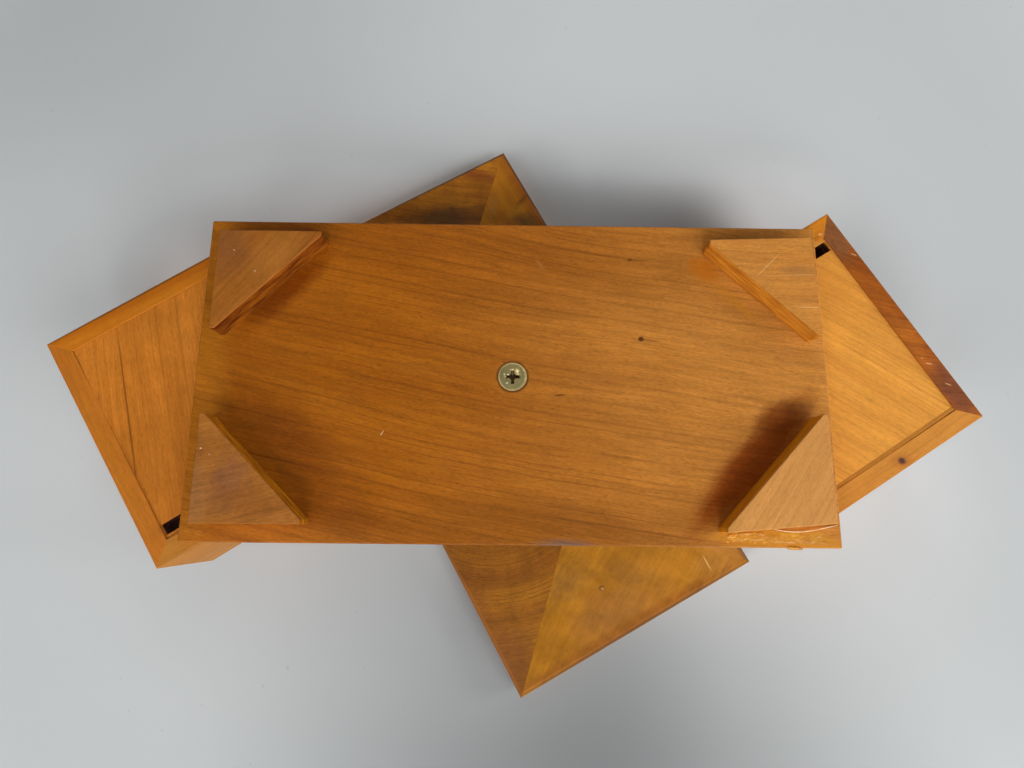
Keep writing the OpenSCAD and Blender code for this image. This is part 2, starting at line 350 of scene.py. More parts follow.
def wood(name, pale, middle, dark, angle, through, bend=0.6, side=1, gap=5.0, rings=0.6, fibres=0.3,
         figure=0.1, wander=3.0, rough=0.5, wear=0.25, bump=0.2, marks=(), tones=(), torn=None):
    """A board's finish. The grain runs at the angle given (degrees, seen from above) at the point through
    (mm), and its rings bend round a point bend metres to one side. Tones change the wood's colour under the
    grain: its own colour, and in places painted shadow and painted light. Marks lie over it, and torn gives
    the colours and the angle of a foot's torn sides."""
    material, tree, shader, place = new_material(name)
    turn = -math.radians(angle)
    start = Matrix.Rotation(turn, 3, "Z") @ Vector((through[0] * MM, through[1] * MM, 0))
    shift = Vector((0, side * bend, 0)) - start
    mapped = put(tree, "ShaderNodeMapping", Vector=place, Rotation=(0, 0, turn),
                 Location=(shift.x, shift.y, 0)).outputs[0]
    if side < 0:
        mapped = vector_calc(tree, "MULTIPLY", mapped, (1, -1, 1))
    shades = [(*colour, 1) for colour in (pale, middle, dark)]
    for tone in tones:
        mask = masked(tree, place, tone)
        shades = [mixed(tree, mask, shade, shaded(tone.colour, share))
                  for shade, share in zip(shades, TONE_SHARES)]
    grain = use(tree, WOOD_GRAIN, Place=mapped, Bend=bend, Pale=shades[0], Middle=shades[1],
                Dark=shades[2], Ring_Gap=gap * MM, Rings=rings, Fibres=fibres, Figure=figure,
                Wander=wander * MM)
    handled = use(tree, HANDLING, Place=place)
    colour = mixed(tree, times(tree, handled["Clouds"], CLOUDING), grain["Color"], shaded(middle, 0.8))
    if torn:
        pale_side, dark_side, side_angle = torn
        side_look = use(tree, TORN_SIDE, Place=place, Angle=-math.radians(side_angle))
        side_colour = mixed(tree, side_look["Streaks"], (*dark_side, 1), (*pale_side, 1))
        side_colour = mixed(tree, TORN_GRAIN, side_colour, colour, "MULTIPLY")
        colour = mixed(tree, side_look["Mask"], colour, side_colour)
    roughness = plus(tree, times(tree, handled["Smears"], SMEARING), rough - SMEARING / 2)
    roughness = plus(tree, roughness, times(tree, grain["Rings"], 0.1))
    sunk = []
    for mark in marks:
        mask = masked(tree, place, mark)
        colour = mixed(tree, mask, colour, (*mark.colour, 1))
        if mark.rough is not None:
            roughness = plus(tree, roughness, times(tree, minus(tree, mark.rough, roughness), mask))
        if mark.depth is not None:
            sunk.append(times(tree, mask, -mark.depth))
    worn = use(tree, WORN_ARRIS, Place=place, Strength=wear)["Mask"]
    colour = mixed(tree, worn, colour, shaded(pale, RUBBED))
    height = times(tree, grain["Height"], 0.05)
    for dip in sunk:
        height = plus(tree, height, dip)
    feed_named(tree, shader, {"Base Color": colour, "Roughness": roughness, "Specular IOR Level": WOOD_SHINE,
                              "Normal": bumped(tree, bump, 1.0 * MM, height)})
    return material


def metal(name, colour, tarnish, rough, marks=()):
    material, tree, shader, place = new_material(name)
    patches = ease(tree, cloud(tree, place, scale=420.0, detail=4.0, rough=0.65), 0.38, 0.66)
    shown = mixed(tree, patches, (*colour, 1), (*tarnish, 1))
    for mark in marks:
        shown = mixed(tree, masked(tree, place, mark), shown, (*mark.colour, 1))
    scratches = cloud(tree, place, scale=1500.0, detail=3.0)
    roughness = plus(tree, times(tree, scratches, 0.35), rough - 0.15)
    dents = cloud(tree, place, scale=900.0, detail=3.0)
    feed_named(tree, shader, {"Base Color": shown, "Metallic": 0.85, "Roughness": roughness,
                              "Normal": bumped(tree, 0.5, 0.15 * MM, dents)})
    return material


def glue(name, colour, deep, rough):
    material, tree, shader, place = new_material(name)
    cloudy = ease(tree, cloud(tree, place, scale=260.0, detail=3.0), 0.35, 0.68)
    shown = mixed(tree, cloudy, (*deep, 1), (*colour, 1))
    ripples = cloud(tree, place, scale=800.0, detail=3.0)
    roughness = plus(tree, times(tree, ripples, 0.2), rough)
    feed_named(tree, shader, {"Base Color": shown, "Roughness": roughness, "Specular IOR Level": GLUE_SHINE,
                              "Normal": bumped(tree, 0.5, 0.2 * MM, ripples)})
    return material


# Spots lie at the height (mm) of the faces that the photograph shows: 0 on the feet, BASE_Z on the base
# board and the screw, 15 to 19 on the trays and 58 on the lid
BASE_Z = BASE_UNDER / MM

VEIN = (0.12, 0.035, 0.006)

base_finish = wood(
    "oiled base board", (0.355, 0.108, 0.005), (0.28, 0.079, 0.003), (0.12, 0.022, 0.001), angle=10,
    through=(0, 0), bend=1.1, gap=3.4, rings=0.66, fibres=0.56, figure=0.06, wander=5.5, rough=0.46,
    tones=[
        # Partly the board's own golden colour towards its right end, partly a painted sheen there
        Spot((118, -8, BASE_Z), (92, 100, 40), (0.64, 0.272, 0.054), soft=0.85, ragged=0.1, strength=0.7),
        Spot((-5, -47, BASE_Z), (75, 15, 6), (0.27, 0.072, 0.002), turn=2, soft=0.8, strength=0.5),
        Spot((-106, 0, BASE_Z), (7, 60, 5), (0.42, 0.145, 0.008), soft=0.5, ragged=0.1, strength=0.55),
        Spot((-72, 54.5, BASE_Z), (40, 3, 5), (0.4, 0.13, 0.018), soft=0.5, strength=0.35),
        Spot((5, 51, BASE_Z), (48, 8, 6), (0.22, 0.068, 0.005), soft=0.8, ragged=0.25, strength=0.6),
        # The rest of these tones are painted shadows that the feet cast on the board beside their slanted
        # sides
        Spot((-77, 28, BASE_Z), (21, 9, 6), (0.13, 0.032, 0.001), turn=47, soft=0.5, ragged=0.25,
             strength=0.3),
        Spot((-75.8, 21.8, BASE_Z), (29, 9.5, 6), (0.16, 0.036, 0.0004), turn=45, soft=0.7, ragged=0.25,
             strength=0.62),
        Spot((82, 29.3, BASE_Z), (28, 6.3, 6), (0.235, 0.038, 0.0002), turn=-48, soft=0.42, ragged=0.15,
             strength=0.92),
        Spot((92.5, 13.4, BASE_Z), (8.6, 4.8, 6), (0.15, 0.03, 0.0003), turn=-22, soft=0.5, strength=0.85),
        Spot((-81, -31, BASE_Z), (18, 4.2, 6), (0.15, 0.028, 0.0002), turn=-45, soft=0.6, strength=0.85),
        Spot((-58, 45, BASE_Z), (12, 8, 6), (0.2, 0.05, 0.002), turn=10, soft=0.8, ragged=0.3,
             strength=0.55)],
    marks=[
        # Painted shade: a dark ring round the screw head, where the gap under it lies in shade
        Spot((0, 0, BASE_Z), (5.7, 5.7, 4), (0.06, 0.02, 0.004), soft=0.07, ragged=0.03, strength=0.7),
        Spot((45.2, -14.2, BASE_Z), (1, 0.85, 4), (0.09, 0.022, 0.006), soft=0.4, ragged=0.1, depth=0.1),
        Spot((48, -13.8, BASE_Z), (3.4, 0.35, 4), VEIN, turn=8, strength=0.45),
        Spot((42.1, -43.9, BASE_Z), (0.8, 0.45, 4), (0.08, 0.02, 0.005), turn=5, soft=0.4, ragged=0.1,
             strength=0.8),
        Spot((44, -43.6, BASE_Z), (3, 0.3, 4), VEIN, turn=5, strength=0.4),
        Spot((16.5, 6.3, BASE_Z), (2.1, 0.3, 4), (0.11, 0.024, 0.006), turn=-4, ragged=0.1, strength=0.75),
        Spot((18.5, 57.8, BASE_Z), (10, 2.4, 4), (0.12, 0.095, 0.09), turn=2, soft=0.6, ragged=0.25,
             strength=0.55),
        Spot((9.5, -41.5, BASE_Z), (2, 0.5, 4), (0.45, 0.2, 0.06), turn=55, soft=0.8, strength=0.3),
        Spot((-44.4, 20.2, BASE_Z), (1, 0.15, 4), (0.7, 0.45, 0.22), turn=-60, strength=0.8),
        Spot((68.5, -40.5, BASE_Z), (5.6, 3.4, 4), (0.48, 0.13, 0.003), turn=30, soft=0.4, ragged=0.3,
             strength=0.6, rough=0.3),
        Spot((79, -28.5, BASE_Z), (11, 1.6, 4), (0.5, 0.2, 0.012), turn=42, soft=0.5, ragged=0.45,
             strength=0.4, rough=0.3),
        Spot((90, 54.2, BASE_Z), (23, 3, 4), (0.52, 0.23, 0.02), turn=1, soft=0.35, ragged=0.3, strength=0.55,
             rough=0.3)])

foot_finishes = {
    "front_left_foot": wood(
        "brown sawn foot", (0.34, 0.115, 0.014), (0.26, 0.08, 0.009), (0.11, 0.03, 0.004), angle=-52,
        through=(-90, -40), gap=3.4, rings=0.35, fibres=0.42, figure=0.15, rough=0.6, wear=0.15, bump=0.4,
        torn=((0.38, 0.115, 0.006), (0.11, 0.02, 0.001), -43),
        tones=[
            Spot((-99, -43, 0), (7, 9, 12), (0.2, 0.07, 0.02), soft=0.7, ragged=0.4, strength=0.65),
            Spot((-83, -40, 0), (9, 6, 12), (0.39, 0.145, 0.022), turn=-48, soft=0.7, ragged=0.4,
                 strength=0.6)],
        marks=[
            Spot((-96.9, -41.7, 0), (0.3, 0.22, 3), (0.7, 0.5, 0.3), strength=0.6),
            Spot((-89, -34.1, 0), (0.26, 0.2, 3), (0.8, 0.6, 0.4), strength=0.6)]),
    "back_left_foot": wood(
        "purplish sawn foot", (0.37, 0.135, 0.021), (0.28, 0.095, 0.014), (0.12, 0.038, 0.01), angle=-14,
        through=(-90, 38), gap=1.7, rings=0.35, fibres=0.55, figure=0.35, wander=2.0, rough=0.65, wear=0.3,
        # Its torn sides are far paler than the foot: their own streaks, with painted light lifting sides that
        # lie in shade
        bump=0.5, torn=((0.8, 0.32, 0.008), (0.26, 0.075, 0.001), 48),
        tones=[
            Spot((-91.3, 38.5, 0), (5.5, 7, 12), (0.19, 0.078, 0.045), turn=20, soft=0.7, ragged=0.6,
                 strength=0.5),
            Spot((-101, 42, 0), (3, 9, 12), (0.24, 0.115, 0.05), soft=0.7, ragged=0.5, strength=0.4),
            Spot((-84.5, 43.5, 0), (10, 3.4, 12), (0.24, 0.078, 0.011), turn=6, soft=0.7, ragged=0.4,
                 strength=0.6)],
        marks=[
            Spot((-101, 27, 0), (0.32, 0.2, 3), (0.8, 0.65, 0.5), strength=0.75),
            Spot((-98, 29, 0), (0.2, 0.16, 3), (0.8, 0.65, 0.5), strength=0.6)]),
    "front_right_foot": wood(
        "pale sawn foot", (0.58, 0.238, 0.042), (0.455, 0.172, 0.029), (0.3, 0.1, 0.014), angle=2,
        through=(90, -38), gap=1.6, rings=0.35, fibres=0.5, wander=1.2, rough=0.62, wear=0.3, bump=0.5,
        torn=((0.8, 0.36, 0.035), (0.5, 0.17, 0.014), 41),
        marks=[
            Spot((98.5, -37, 0), (6, 1.6, 12), (0.3, 0.13, 0.04), turn=1, soft=0.5, strength=0.45),
            Spot((88, -38.5, 0), (6, 0.3, 3), (0.7, 0.42, 0.16), turn=-45, strength=0.35),
            Spot((96, -35, 0), (10, 0.16, 3), (0.8, 0.46, 0.18), turn=-2, ragged=0.5, strength=0.3),
            Spot((101, -23.5, 0), (5, 0.14, 3), (0.85, 0.55, 0.25), turn=1, ragged=0.4, strength=0.4)]),
    "back_right_foot": wood(
        "tan sawn foot", (0.61, 0.275, 0.072), (0.495, 0.218, 0.051), (0.33, 0.125, 0.024), angle=-56,
        through=(92, 38), gap=2.6, rings=0.3, fibres=0.36, wander=2.0, rough=0.6, wear=0.3, bump=0.4,
        torn=((1.0, 0.5, 0.02), (0.8, 0.3, 0.008), -48)),
}

WALL_PALE = (0.55, 0.19, 0.02)
WALL_MIDDLE = (0.45, 0.135, 0.012)
WALL_DARK = (0.2, 0.05, 0.006)

# Painted shade: round the slots, and on the walls behind them, the trays' insides are painted nearly black,
# as if no light came in there
SLOT_PAINTED_SHADE = dict(colour=(0.012, 0.005, 0.003), soft=0.25, ragged=0.1, strength=0.97, rough=1.0)

tray_finishes = {
    "left_tray_slot_wall": wood(
        "left slot wall", (0.53, 0.215, 0.032), (0.43, 0.165, 0.021), (0.18, 0.05, 0.006), angle=TRAY_SIDE,
        through=(-80, 38), gap=4.0, fibres=0.25),
    "left_tray_plain_wall": wood(
        "left plain wall", (0.6, 0.2, 0.012), (0.49, 0.15, 0.008), WALL_DARK, angle=TRAY_SIDE,
        through=(-120, -45), rings=0.3, fibres=0.25,
        tones=[
            Spot((-131.9, -31.7, 15), (46, 2, 9), (0.48, 0.12, 0.003), turn=TRAY_SIDE, soft=0.5,
                 strength=0.65)],
        marks=[
            Spot((-132.5, -32.7, 15), (48, 0.5, 4), (0.1, 0.03, 0.004), turn=TRAY_SIDE, soft=0.4, ragged=0.05,
                 strength=0.75)]),
    "left_tray_outer_wall": wood(
        "left outer wall", (0.52, 0.165, 0.016), (0.41, 0.125, 0.011), (0.2, 0.055, 0.008), angle=TRAY_END,
        through=(-143, 27), gap=4.5, rings=0.3, wear=0.5,
        tones=[
            Spot((-139, 29, 15), (26, 1.8, 9), (0.5, 0.165, 0.014), turn=TRAY_END, soft=0.5, strength=0.7)],
        marks=[
            Spot((-119.5, 53.5, 31), (5, 2.6, 14), turn=TRAY_END, **SLOT_PAINTED_SHADE)]),
    "left_tray_inner_wall": wood(
        "left inner wall", WALL_PALE, WALL_MIDDLE, WALL_DARK, angle=TRAY_END, through=(-60, -25), rings=0.4),
    "left_tray_bottom": wood(
        "left tray bottom", (0.585, 0.195, 0.021), (0.475, 0.15, 0.014), (0.22, 0.06, 0.006), angle=75,
        through=(-130, 10), bend=1.6, gap=3.4, rings=0.5, fibres=0.42, figure=0.15, wander=2.2,
        marks=[
            Spot((-135.8, 12, 16), (29, 0.3, 3), (0.15, 0.035, 0.004), turn=75.5, soft=0.5, ragged=0.12,
                 strength=0.7),
            Spot((-114.9, 50.8, 19.2), (9.5, 4.4, 3), turn=TRAY_SIDE, **SLOT_PAINTED_SHADE)]),
    "right_tray_slot_wall": wood(
        "right slot wall", (0.62, 0.215, 0.015), (0.5, 0.16, 0.009), WALL_DARK, angle=TRAY_SIDE,
        through=(95, -48), gap=4.0, rings=0.4,
        marks=[
            Spot((115.3, -57.5, 15), (0.9, 0.45, 4), (0.8, 0.48, 0.18), turn=-25, ragged=0.5, strength=0.55),
            Spot((112, -55, 31), (8, 2.6, 14), turn=TRAY_SIDE, **SLOT_PAINTED_SHADE)]),
    "right_tray_plain_wall": wood(
        "right plain wall", (0.6, 0.24, 0.037), (0.49, 0.185, 0.025), WALL_DARK, angle=TRAY_SIDE,
        through=(136, 30), rings=0.25, fibres=0.22, figure=0.15,
        marks=[
            Spot((136.6, 27.2, 15), (3.8, 2.2, 6), (0.38, 0.12, 0.018), soft=0.7, strength=0.6),
            Spot((136.6, 27.2, 15), (1.3, 1.1, 5), (0.085, 0.034, 0.026), soft=0.5, ragged=0.25)]),
    "right_tray_outer_wall": wood(
        "dark outer wall", (0.4, 0.108, 0.008), (0.25, 0.06, 0.005), (0.08, 0.018, 0.004), angle=12,
        through=(143, -27), bend=0.12, gap=3.4, rings=0.7, fibres=0.45, figure=0.3, wander=6.0, wear=0.2,
        tones=[
            Spot((158, 2, 15), (11, 4, 9), (0.17, 0.05, 0.022), turn=TRAY_END, soft=0.5, ragged=0.35,
                 strength=0.75),
            Spot((121, -56, 15), (9, 4.5, 9), (0.2, 0.085, 0.035), turn=TRAY_END, soft=0.5, ragged=0.4,
                 strength=0.7),
            Spot((144, -18, 15), (12, 2.6, 9), (0.46, 0.13, 0.012), turn=TRAY_END, soft=0.6, ragged=0.3,
                 strength=0.6)],
        marks=[
            Spot((127.2, -49.6, 15), (1.2, 0.2, 4), (0.7, 0.42, 0.22), turn=20, ragged=0.4, strength=0.6),
            Spot((150.3, -8, 15), (1.2, 0.22, 4), (0.75, 0.42, 0.18), turn=8, ragged=0.4, strength=0.7),
            Spot((148, -10, 15), (0.5, 0.16, 4), (0.75, 0.42, 0.18), turn=8, ragged=0.4, strength=0.6),
            Spot((156.4, -0.4, 15), (1.2, 0.2, 4), (0.75, 0.42, 0.18), turn=20, ragged=0.4, strength=0.6),
            Spot((119.5, -53.5, 31), (5, 2.6, 14), turn=TRAY_END, **SLOT_PAINTED_SHADE)]),
    "right_tray_inner_wall": wood(
        "right inner wall", WALL_PALE, WALL_MIDDLE, WALL_DARK, angle=TRAY_END, through=(60, 25), rings=0.4),
    "right_tray_bottom": wood(
        "right tray bottom", (0.73, 0.315, 0.047), (0.61, 0.245, 0.036), (0.34, 0.1, 0.013), angle=30,
        through=(130, -5), bend=0.9, side=-1, gap=2.0, rings=0.55, fibres=0.34, figure=0.08, rough=0.46,
        marks=[
            Spot((114.9, -50.8, 19.2), (9.5, 4.4, 3), turn=TRAY_SIDE, **SLOT_PAINTED_SHADE)]),
}

lid_finishes = {
    "lid_left_board": wood(
        "dark lid end", (0.5, 0.185, 0.01), (0.33, 0.098, 0.006), (0.13, 0.03, 0.004), angle=2,
        through=(-30, -90), bend=0.5, gap=4.0, fibres=0.5, figure=0.4, wander=9.0, wear=0.05,
        tones=[
            # Dark patches by the base's edge: partly dark blotches in the wood, partly painted shadow of the
            # base
            Spot((-24, -83, 58), (24, 5.5, 8), (0.13, 0.042, 0.007), turn=-3, soft=0.7, ragged=0.45,
                 strength=0.75),
            Spot((-31, -83, 58), (9, 4, 8), (0.085, 0.05, 0.014), turn=-10, soft=0.5, ragged=0.5,
                 strength=0.6),
            Spot((-18, -105, 58), (10, 2.4, 8), (0.24, 0.052, 0.01), turn=12, soft=0.6, ragged=0.4,
                 strength=0.7)],
        marks=[
            Spot((-28.9, -102.1, 60), (36, 0.75, 6), (0.06, 0.026, 0.01), turn=LID_END, ragged=0.05,
                 strength=0.8)]),
    "lid_front_board": wood(
        "golden lid side", (0.58, 0.21, 0.008), (0.37, 0.125, 0.005), (0.15, 0.042, 0.003), angle=60,
        through=(10, -95), bend=0.35, gap=6.0, rings=0.25, figure=0.3, wander=8.0, wear=0.05,
        tones=[
            Spot((9, -81, 58), (10, 4, 8), (0.1, 0.05, 0.012), turn=10, soft=0.6, ragged=0.4, strength=0.7),
            Spot((4.2, -96.8, 58), (24, 2, 8), (0.34, 0.085, 0.006), turn=LID_SIDE, soft=0.6, ragged=0.25,
                 strength=0.6),
            Spot((-6, -84, 58), (7, 3, 8), (0.3, 0.1, 0.004), soft=0.7, ragged=0.4, strength=0.6),
            Spot((90, 55, 58), (22, 16, 8), (0.43, 0.178, 0.026))],
        marks=[
            Spot((3.6, -92, 58), (4.6, 1, 8), (0.13, 0.04, 0.006), turn=-52, soft=0.6, ragged=0.3,
                 strength=0.6),
            Spot((0.5, -87, 58), (5, 2.2, 8), (0.42, 0.175, 0.012), turn=-40, soft=0.5, ragged=0.3,
                 strength=0.5),
            Spot((-9.5, -89, 58), (1.8, 5, 8), (0.4, 0.17, 0.03), turn=14, soft=0.6, ragged=0.3,
                 strength=0.5),
            Spot((5.3, -97, 60), (26, 0.75, 6), (0.07, 0.028, 0.012), turn=LID_SIDE, ragged=0.05,
                 strength=0.8),
            Spot((93.4, 59.6, 60), (8, 1.5, 6), (0.2, 0.08, 0.022), turn=LID_SIDE, soft=0.5, ragged=0.1,
                 strength=0.8)]),
    "lid_back_board": wood(
        "curly lid side", (0.33, 0.124, 0.009), (0.23, 0.076, 0.006), (0.085, 0.022, 0.002), angle=0,
        through=(-8, 85), bend=0.06, gap=1.2, rings=0.95, fibres=0.55, figure=0.4, wander=1.1, bump=0.5,
        wear=0.1,
        tones=[
            Spot((-14, 84, 58), (30, 6, 8), (0.2, 0.062, 0.009), turn=LID_SIDE, soft=0.7, ragged=0.3,
                 strength=0.6),
            Spot((0, 104, 58), (9, 12, 8), (0.2, 0.066, 0.012), soft=0.6, strength=0.7)],
        marks=[
            # A paler strip along the lid's edge: painted light on its chamfer
            Spot((-8.4, 91.8, 60), (36, 0.9, 6), (0.42, 0.15, 0.03), turn=LID_SIDE, soft=0.4, ragged=0.15,
                 strength=0.4)]),
    "lid_right_board": wood(
        "ochre lid end", (0.45, 0.182, 0.014), (0.355, 0.137, 0.01), (0.17, 0.055, 0.006), angle=118,
        through=(40, 85), bend=0.5, gap=7.0, rings=0.2, fibres=0.36, figure=0.5, wander=8.0, rough=0.42,
        wear=0.03,
        tones=[
            Spot((14, 96, 58), (12, 14, 8), (0.35, 0.135, 0.005), soft=0.7, ragged=0.3, strength=0.8),
            Spot((43, 84, 58), (17, 8, 8), (0.31, 0.122, 0.024), turn=LID_END, soft=0.7, ragged=0.35,
                 strength=0.75),
            Spot((49.8, 88.5, 58), (54, 2.4, 8), (0.26, 0.082, 0.009), turn=LID_END, soft=0.6, strength=0.75),
            Spot((23, 73, 58), (8, 5, 8), (0.22, 0.1, 0.02), turn=-50, soft=0.85, ragged=0.8, strength=0.62),
            Spot((47, 69, 58), (8, 3.4, 8), (0.26, 0.112, 0.022), turn=8, soft=0.85, ragged=0.8,
                 strength=0.5),
            Spot((84.5, 63.5, 58), (10, 4.6, 8), (0.44, 0.188, 0.03), turn=LID_END, soft=0.6, ragged=0.3,
                 strength=0.75)],
        marks=[
            Spot((15.9, 71.8, 58), (3.6, 0.28, 6), (0.08, 0.03, 0.01), turn=-80, ragged=0.15, strength=0.8),
            Spot((36.9, 75.2, 58), (1.2, 1, 6), (0.12, 0.045, 0.008), soft=0.25, ragged=0.15, strength=0.75,
                 depth=0.6),
            Spot((37.1, 75.5, 58), (0.75, 0.6, 6), (0.5, 0.24, 0.06), ragged=0.15, strength=0.8),
            Spot((50.7, 89.9, 60), (56, 0.85, 6), (0.09, 0.035, 0.01), turn=LID_END, soft=0.5, ragged=0.08,
                 strength=0.7),
            Spot((79.4, 65.1, 58), (3.2, 0.3, 6), (0.72, 0.4, 0.12), turn=62, strength=0.75)]),
}

dowel_finish = wood(
    "pale dowel", (0.6, 0.38, 0.18), (0.5, 0.29, 0.12), (0.3, 0.15, 0.05), angle=0, through=(0, 0), gap=2.0,
    rings=0.3, wander=1.0, wear=0.1)
screw_finish = metal(
    "dulled brass", (0.62, 0.47, 0.2), (0.4, 0.3, 0.12), rough=0.38,
    marks=[
        Spot((-0.15, -0.15, BASE_Z), (4.45, 4.45, 3), (0.2, 0.165, 0.06), soft=0.06, ragged=0.03,
             strength=0.85),
        Spot((0.8, 0.6, BASE_Z), (3.4, 3.4, 3), (0.3, 0.24, 0.1), soft=0.4, ragged=0.8, strength=0.6),
        # Painted shade inside the cross recess
        Spot((0, 0, BASE_Z + 1.7), (3.6, 3.6, 1.5), (0.07, 0.035, 0.01), soft=0.08, ragged=0.05),
        # Painted glints round the recess's arms
        Spot((1.9, -2.1, BASE_Z), (0.6, 0.16, 0.4), (0.8, 0.65, 0.42), turn=-42, ragged=0.3),
        Spot((-1.6, -0.7, BASE_Z), (0.4, 0.28, 0.4), (0.9, 0.75, 0.5), turn=20, ragged=0.3),
        Spot((-2.9, -0.9, BASE_Z), (0.3, 0.22, 0.4), (0.9, 0.7, 0.45), ragged=0.3),
        Spot((-0.5, -2.6, BASE_Z), (0.7, 0.14, 0.4), (0.8, 0.62, 0.36), turn=-15, ragged=0.3),
        Spot((-1.9, 2.2, BASE_Z), (0.5, 0.3, 0.4), (0.7, 0.6, 0.4), turn=-30, ragged=0.4)])
pin_finish = metal("plain steel", (0.5, 0.5, 0.5), (0.34, 0.33, 0.32), rough=0.35)
amber_glue = glue("amber glue", (0.6, 0.29, 0.03), (0.42, 0.17, 0.012), rough=0.22)
pale_glue = glue("pale glue", (0.85, 0.68, 0.42), (0.6, 0.38, 0.16), rough=0.2)


# Pieces

# Widths that the arrises are rounded by
BOARD_ARRIS = 0.5 * MM
WALL_ARRIS = 0.45 * MM
PANEL_ARRIS = 0.15 * MM
FOOT_ARRIS = 0.35 * MM
POST_ARRIS = 0.4 * MM
PEG_ARRIS = 0.2 * MM
SCREW_ARRIS = 0.16 * MM

# Points of the CAD that lie closer than this are one point, and edges shorter than this stay sharp
SAME_POINT = 0.002 * MM
SHORT_EDGE = 0.4 * MM

# Faces that meet at less than FLAT are one face. Edges sharper than CORNER are eased. A smooth piece keeps
# the edges that are sharper than CREASE.
FLAT = math.radians(1)
CORNER = math.radians(30)
CREASE = math.radians(35)

# Depth of the saw's tears, and the size from which a face of a foot is one whole side
TEAR_DEPTH = 0.35 * MM
WHOLE_SIDE = 60 * MM * MM


def spin(degrees, axis="Z"):
    return Matrix.Rotation(math.radians(degrees), 3, axis)


def placed(work, turn, where):
    """Turns a piece that was built round the origin, and moves it to its place."""
    bmesh.ops.rotate(work, verts=work.verts, cent=(0, 0, 0), matrix=turn)
    bmesh.ops.translate(work, verts=work.verts, vec=where)


def upright(normal):
    return abs(normal.z) < 0.1


def diagonal(normal, slack):
    return abs(abs(normal.x) - abs(normal.y)) < slack


def board_joint(degrees, centre_line=False):
    """Tells a face that is glued to the next board from the faces that show. The boards run at this angle
    and meet in mitres, and those of the lid along its centre line too."""
    back = spin(-degrees)

    def hidden(face):
        normal = back @ face.normal
        middle = back @ face.calc_center_median()
        on_centre_line = centre_line and abs(normal.y) > 0.9 and abs(middle.y) < 2 * MM
        return upright(normal) and (diagonal(normal, 0.05) or on_centre_line)
    return hidden


def in_scene(name, data):
    piece = bpy.data.objects.new(name, data)
    bpy.context.scene.collection.objects.link(piece)
    return piece


def from_work(work, name):
    mesh = bpy.data.meshes.new(name)
    work.to_mesh(mesh)
    work.free()
    return in_scene(name, mesh)


def finished(work, name, body, finish, node=None, smooth=False):
    work.normal_update()
    piece = from_work(work, name)
    if smooth:
        for face in piece.data.polygons:
            face.use_smooth = True
        piece.data.set_sharp_from_angle(angle=CREASE)
    piece.data.materials.append(finish)
    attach(piece, body)
    if node:
        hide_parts(node)


def bevelled(work, edges, width, segments):
    bmesh.ops.bevel(work, geom=edges, offset=width, offset_type="OFFSET", segments=segments, profile=0.5,
                    affect="EDGES", clamp_overlap=True, material=-1)


def eased(name, body, finish, width, joint=None, shape=None, smooth=False):
    """A CAD node with its arrises eased, standing in for the node. Glued faces keep their edges."""
    work = bmesh.new()
    work.from_mesh(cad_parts[name].data)
    bmesh.ops.remove_doubles(work, verts=work.verts, dist=SAME_POINT)
    bmesh.ops.dissolve_limit(work, angle_limit=FLAT, verts=work.verts, edges=work.edges)
    work.normal_update()
    arrises = [edge for edge in work.edges
               if len(edge.link_faces) == 2
               and edge.calc_face_angle(0) > CORNER
               and edge.calc_length() > SHORT_EDGE
               and not (joint and any(joint(face) for face in edge.link_faces))]
    bevelled(work, arrises, width, segments=3)
    if shape:
        shape(work)
    finished(work, name + "_eased", body, finish, node=name, smooth=smooth)


def saw_marks(seed):
    """Tears a foot's slanted side along its length, inwards only."""
    def slanted(face):
        return upright(face.normal) and diagonal(face.normal, 0.2)

    def shape(work):
        work.normal_update()
        big = [face for face in work.faces if slanted(face) and face.calc_area() > WHOLE_SIDE]
        edges = {edge for face in big for edge in face.edges}
        bmesh.ops.subdivide_edges(work, edges=list(edges), cuts=20, use_grid_fill=True)
        work.normal_update()
        for face in [face for face in work.faces if slanted(face) and face.calc_area() < WHOLE_SIDE]:
            inward = -face.normal.copy()
            level = face.normal.cross(Vector((0, 0, 1)))
            for vert in face.verts:
                if vert.tag:
                    continue
                vert.tag = True
                far = vert.co.dot(level)
                tear = noise.noise(Vector((far * 90, vert.co.z * 520, seed)))
                tear += 0.5 * noise.noise(Vector((far * 400, vert.co.z * 1100, seed + 3)))
                vert.co += inward * TEAR_DEPTH * max(0.0, 0.5 + tear)
        bmesh.ops.triangulate(work, faces=[face for face in work.faces if len(face.verts) > 4])
    return shape


eased("base_board", "base", base_finish, BOARD_ARRIS)
for number, (name, finish) in enumerate(foot_finishes.items()):
    eased(name, "base", finish, FOOT_ARRIS, shape=saw_marks(seed=number * 7.3))
for name in ("left_guide_peg", "right_guide_peg"):
    eased(name, "base", dowel_finish, PEG_ARRIS, smooth=True)
eased("centre_post", "lid", dowel_finish, POST_ARRIS, smooth=True)
for name in ("left_hinge_pin", "right_hinge_pin"):
    eased(name, "lid", pin_finish, PEG_ARRIS, smooth=True)
eased("pivot_screw", "lid", screw_finish, SCREW_ARRIS, smooth=True)
for name, finish in lid_finishes.items():
    eased(name, "lid", finish, BOARD_ARRIS, joint=board_joint(LID_SIDE, centre_line=True))
for name, finish in tray_finishes.items():
    body = name.split("_")[0] + "_tray"
    if name.endswith("bottom"):
        eased(name, body, finish, PANEL_ARRIS)
    else:
        eased(name, body, finish, WALL_ARRIS, joint=board_joint(TRAY_SIDE))


# Dried glue by the right back foot: how uneven a bead's skin is, and how deep the film's back lies
BEAD_SKIN = 0.35
FILM_BACK = 1.2 * MM


